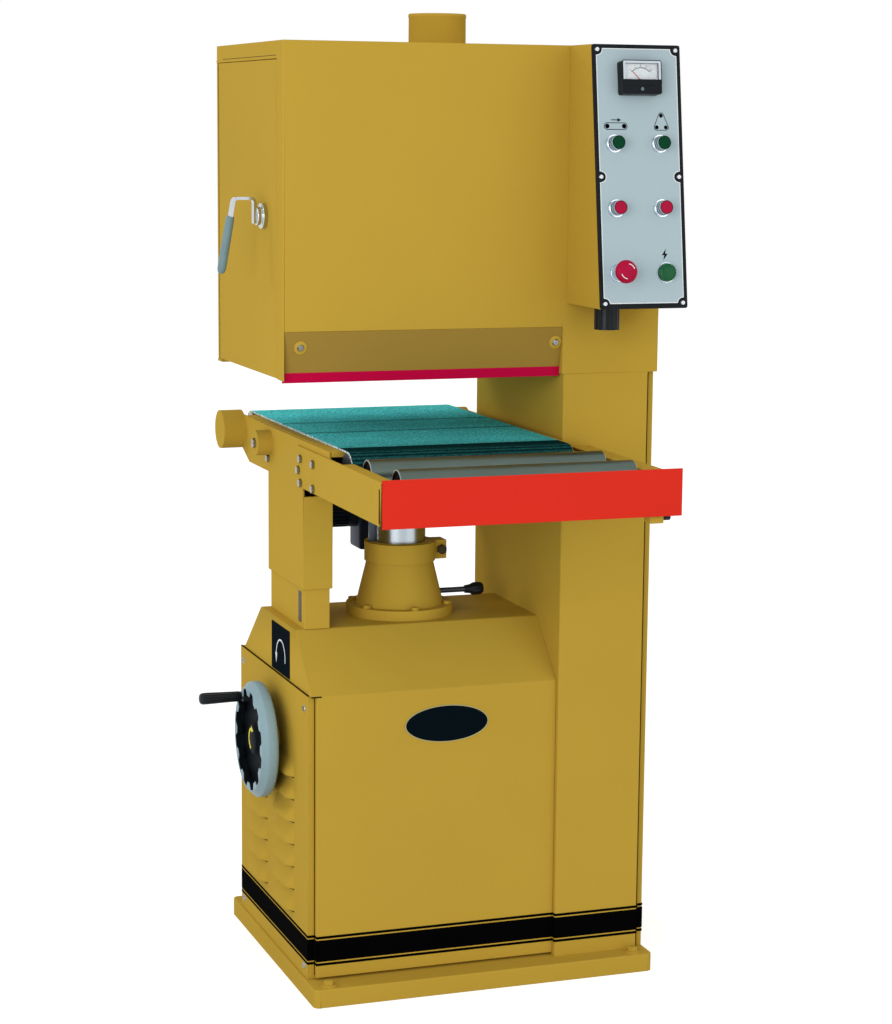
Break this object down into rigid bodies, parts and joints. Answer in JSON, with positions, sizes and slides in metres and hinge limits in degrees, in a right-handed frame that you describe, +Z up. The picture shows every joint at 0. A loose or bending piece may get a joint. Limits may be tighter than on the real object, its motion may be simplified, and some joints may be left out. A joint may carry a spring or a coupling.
{
  "type": "open-end belt sander",
  "caption": "Floor-standing open-end belt sander: sheet-metal cabinet and column, overhung sanding head, rising conveyor table and sloped control box.",
  "frame": {"origin": "middle of the base on the floor", "axes": "+X to the operator's right, towards the column; +Y to the back, along the feed; +Z up"},
  "size_m": [0.777, 0.897, 1.725],
  "materials": {
    "yellow_paint": "semi-gloss",
    "red_paint": "semi-gloss",
    "blue_paint": "semi-gloss",
    "motor_alloy": "cast",
    "bare_steel": "machined",
    "polished_steel": "polished",
    "grey_zinc": "satin",
    "cast_iron": "machined",
    "wheel_grey": "satin",
    "bright_chrome": "polished",
    "zinc_bolts": "plated",
    "black_plastic": "fine texture",
    "grey_plastic": "satin",
    "black_rubber": "matt",
    "teal_belt": "coarse grip",
    "abrasive_cloth": "coarse grit",
    "panel_grey": "satin print",
    "meter_black": "gloss",
    "clear_glass": "clear",
    "needle_red": "matt",
    "green_button": "gloss",
    "red_button": "gloss",
    "green_lens": "gloss"
  },
  "bodies": {
    "frame": {"base_frame": "yellow_paint", "cabinet_shell": "yellow_paint", "cabinet_hood": "yellow_paint", "louvre_panel": "yellow_paint", "column_shell": "yellow_paint", "column_side_cover": "yellow_paint", "head_shell": "yellow_paint", "guard_strips": "yellow_paint", "dust_port": "yellow_paint", "roller_plate": "bare_steel", "drum_bearings": "cast_iron", "sanding_belt": "abrasive_cloth", "main_motor": "motor_alloy", "drive_belts": "black_rubber", "pedestal": "yellow_paint", "screw_bracket": "bare_steel", "guide_post": "yellow_paint", "control_box": "yellow_paint", "control_panel": "panel_grey", "meter_case": "meter_black", "meter_glass": "clear_glass", "button_collars": "bright_chrome", "pilot_lamp": "green_lens", "cable_gland": "black_plastic", "hex_bolts": "zinc_bolts", "machine_screws": "zinc_bolts"},
    "handwheel": {"handwheel": "wheel_grey", "handwheel_shaft": "bare_steel"},
    "crank": {"crank_handle": "black_plastic"},
    "leadscrew": {"leadscrew": "bare_steel"},
    "table": {"table_frame": "yellow_paint", "conveyor_bed": "bare_steel", "lift_column": "polished_steel", "conveyor_belt": "teal_belt", "infeed_rails": "yellow_paint", "front_bar": "red_paint", "feed_motor": "blue_paint", "feed_chain": "bare_steel", "table_bolts": "zinc_bolts"},
    "drive_roller": {"drive_roller": "bare_steel"},
    "tail_roller": {"tail_roller": "bare_steel"},
    "feed_sprocket": {"feed_sprocket": "bare_steel"},
    "infeed_roller_rear": {"infeed_roller_rear": "grey_zinc"},
    "infeed_roller_front": {"infeed_roller_front": "grey_zinc"},
    "drum": {"contact_drum": "bare_steel", "drum_sleeve": "black_rubber"},
    "idle_roller": {"idle_roller": "bare_steel"},
    "tension_yoke": {"tension_yoke": "bare_steel"},
    "tracking_roller": {"tracking_roller": "bare_steel"},
    "motor_rotor": {"motor_pulley": "cast_iron"},
    "side_door": {"side_door": "yellow_paint"},
    "door_latch": {"door_latch": "bright_chrome", "latch_grip": "grey_plastic"},
    "lock_lever": {"lock_lever": "bare_steel"},
    "feed_start_button": {"feed_start_button": "green_button"},
    "belt_start_button": {"belt_start_button": "green_button"},
    "feed_stop_button": {"feed_stop_button": "red_button"},
    "belt_stop_button": {"belt_stop_button": "red_button"},
    "emergency_stop": {"emergency_stop": "red_button"},
    "meter_needle": {"meter_needle": "needle_red"}
  },
  "joints": [
    {"name": "handwheel_turn", "type": "hinge", "parent": "frame", "child": "handwheel", "pos_m": [-0.342, -0.022, 0.426], "axis": [1, 0, 0], "range_deg": [-5400, 17460]},
    {"name": "leadscrew_turn", "type": "hinge", "parent": "frame", "child": "leadscrew", "pos_m": [-0.084, -0.022, 0.5], "axis": [0, 0, 1], "range_deg": [-8730, 2700]},
    {"name": "table_lift", "type": "slide", "parent": "frame", "child": "table", "axis": [0, 0, 1], "range_m": [-0.03, 0.097]},
    {"name": "crank_spin", "type": "hinge", "parent": "handwheel", "child": "crank", "pos_m": [-0.412, 0.02375, 0.49645], "axis": [1, 0, 0], "continuous": true},
    {"name": "drive_roller_turn", "type": "hinge", "parent": "table", "child": "drive_roller", "pos_m": [0, 0.276, 0.9567], "axis": [1, 0, 0], "continuous": true},
    {"name": "tail_roller_turn", "type": "hinge", "parent": "table", "child": "tail_roller", "pos_m": [0, -0.336, 0.9567], "axis": [1, 0, 0], "continuous": true},
    {"name": "feed_sprocket_turn", "type": "hinge", "parent": "table", "child": "feed_sprocket", "pos_m": [0.1, 0.1925, 0.8], "axis": [1, 0, 0], "continuous": true},
    {"name": "infeed_rear_turn", "type": "hinge", "parent": "table", "child": "infeed_roller_rear", "pos_m": [0, -0.43, 0.9645], "axis": [1, 0, 0], "continuous": true},
    {"name": "infeed_front_turn", "type": "hinge", "parent": "table", "child": "infeed_roller_front", "pos_m": [0, -0.552, 0.9645], "axis": [1, 0, 0], "continuous": true},
    {"name": "drum_turn", "type": "hinge", "parent": "frame", "child": "drum", "pos_m": [0, -0.123, 1.1565], "axis": [1, 0, 0], "continuous": true},
    {"name": "idle_turn", "type": "hinge", "parent": "frame", "child": "idle_roller", "pos_m": [0, 0.077, 1.1325], "axis": [1, 0, 0], "continuous": true},
    {"name": "belt_tension", "type": "slide", "parent": "frame", "child": "tension_yoke", "axis": [0, 0, 1], "range_m": [-0.012, 0], "stiffness_N_per_m": 15000, "springref_m": 0.03},
    {"name": "tracking_turn", "type": "hinge", "parent": "tension_yoke", "child": "tracking_roller", "pos_m": [0, -0.023, 1.598], "axis": [1, 0, 0], "continuous": true},
    {"name": "motor_turn", "type": "hinge", "parent": "frame", "child": "motor_rotor", "pos_m": [0.2, 0, 0.205], "axis": [1, 0, 0], "continuous": true},
    {"name": "door_hinge", "type": "hinge", "parent": "frame", "child": "side_door", "pos_m": [-0.358, 0.179, 1.369], "axis": [0, 0, -1], "range_deg": [0, 90]},
    {"name": "latch_turn", "type": "hinge", "parent": "side_door", "child": "door_latch", "pos_m": [-0.368, -0.129, 1.374], "axis": [1, 0, 0], "range_deg": [0, 90]},
    {"name": "lock_turn", "type": "hinge", "parent": "frame", "child": "lock_lever", "pos_m": [0, -0.022, 0.681], "axis": [1, 0, 0], "range_deg": [0, 90]},
    {"name": "feed_start_press", "type": "slide", "parent": "frame", "child": "feed_start_button", "axis": [0, 0.9916, -0.1295], "range_m": [0, 0.004], "stiffness_N_per_m": 600},
    {"name": "belt_start_press", "type": "slide", "parent": "frame", "child": "belt_start_button", "axis": [0, 0.9916, -0.1295], "range_m": [0, 0.004], "stiffness_N_per_m": 600},
    {"name": "feed_stop_press", "type": "slide", "parent": "frame", "child": "feed_stop_button", "axis": [0, 0.9916, -0.1295], "range_m": [0, 0.004], "stiffness_N_per_m": 600},
    {"name": "belt_stop_press", "type": "slide", "parent": "frame", "child": "belt_stop_button", "axis": [0, 0.9916, -0.1295], "range_m": [0, 0.004], "stiffness_N_per_m": 600},
    {"name": "emergency_press", "type": "slide", "parent": "frame", "child": "emergency_stop", "axis": [0, 0.9916, -0.1295], "range_m": [0, 0.005]},
    {"name": "needle_swing", "type": "hinge", "parent": "frame", "child": "meter_needle", "pos_m": [0.22825, -0.34325, 1.60504], "axis": [0, 0.9916, -0.1295], "range_deg": [0, 90]}
  ],
  "couplings": [
    {"joint": "leadscrew_turn", "follows": "handwheel_turn", "ratio": -0.5},
    {"joint": "table_lift", "follows": "handwheel_turn", "m_per_rad": 0.00031831},
    {"joint": "tail_roller_turn", "follows": "drive_roller_turn", "ratio": 1},
    {"joint": "feed_sprocket_turn", "follows": "drive_roller_turn", "ratio": 1.2},
    {"joint": "idle_turn", "follows": "drum_turn", "ratio": 1.8571},
    {"joint": "tracking_turn", "follows": "drum_turn", "ratio": 1.625},
    {"joint": "motor_turn", "follows": "drum_turn", "ratio": 0.84615}
  ]
}
